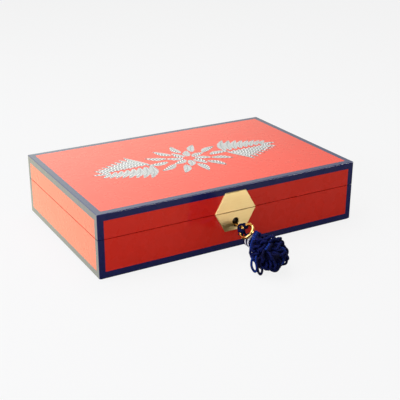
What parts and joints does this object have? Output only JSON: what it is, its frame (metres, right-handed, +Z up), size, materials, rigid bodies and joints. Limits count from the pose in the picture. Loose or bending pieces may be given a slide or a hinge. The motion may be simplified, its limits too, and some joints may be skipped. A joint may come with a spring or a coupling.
{
  "type": "jewellery box",
  "caption": "Lacquered jewellery box with a hinged lid, a working box lock behind a split hexagonal brass plate, and a key that carries a looped cord tassel.",
  "frame": {"origin": "centre of the box's underside, on the ground", "axes": "+X to the right along the length as seen from the front, +Y to the back where the hinges are, +Z up"},
  "size_m": [0.318, 0.2965, 0.071],
  "materials": {
    "lacquer": "high-gloss lacquer on board, orange-red with a dark navy border",
    "board": "plain board",
    "felt": "felt",
    "suede": "suede cloth",
    "hinge_brass": "polished",
    "screw_brass": "polished",
    "plate_brass": "satin brushed",
    "key_brass": "polished",
    "lock_steel": "plain",
    "bumper": "clear soft",
    "blue_cord": "woven cord",
    "black_cord": "woven cord",
    "white_cord": "woven cord"
  },
  "bodies": {
    "base": {"base_front_wall": "lacquer", "base_back_wall": "lacquer", "base_left_wall": "lacquer", "base_right_wall": "lacquer", "base_panel": "board", "base_felt": "felt", "left_hinge_base_leaf": "hinge_brass", "right_hinge_base_leaf": "hinge_brass", "left_hinge_pin": "hinge_brass", "right_hinge_pin": "hinge_brass", "hinge_base_screws": "screw_brass", "lower_lock_plate": "plate_brass", "lock_case": "lock_steel", "lock_cover": "hinge_brass", "lock_cover_screws": "screw_brass", "lid_bumpers": "bumper", "floor_lining": "suede", "front_lining": "suede", "back_lining": "suede", "left_lining": "suede", "right_lining": "suede", "ring_bay_divider": "suede", "long_divider": "suede", "cross_divider": "suede", "ring_rolls": "suede"},
    "lid": {"lid_front_wall": "lacquer", "lid_back_wall": "lacquer", "lid_left_wall": "lacquer", "lid_right_wall": "lacquer", "lid_top_panel": "lacquer", "left_hinge_lid_leaf": "hinge_brass", "right_hinge_lid_leaf": "hinge_brass", "hinge_lid_screws": "screw_brass", "upper_lock_plate": "plate_brass", "lock_staple": "hinge_brass", "staple_screws": "screw_brass", "lid_front_lining": "suede", "lid_back_lining": "suede", "lid_left_lining": "suede", "lid_right_lining": "suede", "lid_pad": "suede"},
    "follower": {"lock_follower": "lock_steel"},
    "bolt": {"lock_bolt": "lock_steel"},
    "key": {"key_stem": "key_brass", "key_bow": "key_brass"},
    "tassel": {"hang_cord": "blue_cord", "wrap_dark": "black_cord", "wrap_light": "white_cord", "tassel_skirt": "blue_cord"}
  },
  "joints": [
    {"name": "lid_hinge", "type": "hinge", "parent": "base", "child": "lid", "pos_m": [0, 0.1045, 0.0433], "axis": [-1, 0, 0], "range_deg": [0, 95]},
    {"name": "key_turn", "type": "hinge", "parent": "base", "child": "follower", "pos_m": [0, -0.1, 0.0283], "axis": [0, 1, 0], "range_deg": [0, 90]},
    {"name": "bolt_slide", "type": "slide", "parent": "base", "child": "bolt", "axis": [1, 0, 0], "range_m": [0, 0.00651]},
    {"name": "key_slide", "type": "slide", "parent": "follower", "child": "key", "axis": [0, -1, 0], "range_m": [0, 0.025]},
    {"name": "tassel_swing", "type": "hinge", "parent": "key", "child": "tassel", "pos_m": [0, -0.11465, 0.0283], "axis": [0, -1, 0], "range_deg": [0, 45]}
  ],
  "couplings": [
    {"joint": "bolt_slide", "follows": "key_turn", "m_per_rad": 0.0041414}
  ]
}
